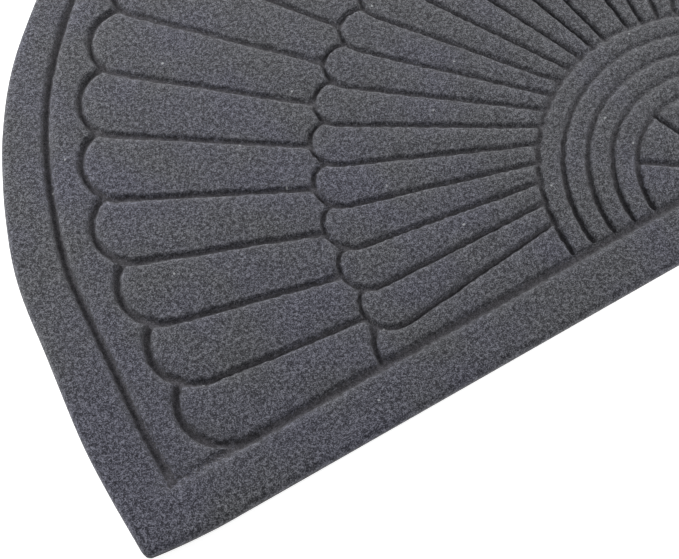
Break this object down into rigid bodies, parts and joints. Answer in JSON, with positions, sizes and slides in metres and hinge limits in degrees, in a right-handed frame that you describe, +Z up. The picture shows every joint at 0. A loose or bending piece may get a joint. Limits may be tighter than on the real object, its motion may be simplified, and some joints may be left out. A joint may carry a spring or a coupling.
{
  "type": "half-round doormat",
  "caption": "Flat half-round doormat of needle felt on a thin rubber backing, with a fan of long petals, scallops and rings pressed into the felt.",
  "frame": {"origin": "under the middle of the mat's bounding box, on the floor", "axes": "+X along the straight edge, +Y from the straight edge to the top of the round edge, +Z up from the floor"},
  "size_m": [0.7516, 0.4384, 0.0068],
  "materials": {
    "needle_felt": "matte needle-felt pile",
    "rubber": "matte"
  },
  "bodies": {
    "root": {"felt_face": "needle_felt", "rubber_backing": "rubber"}
  },
  "joints": []
}
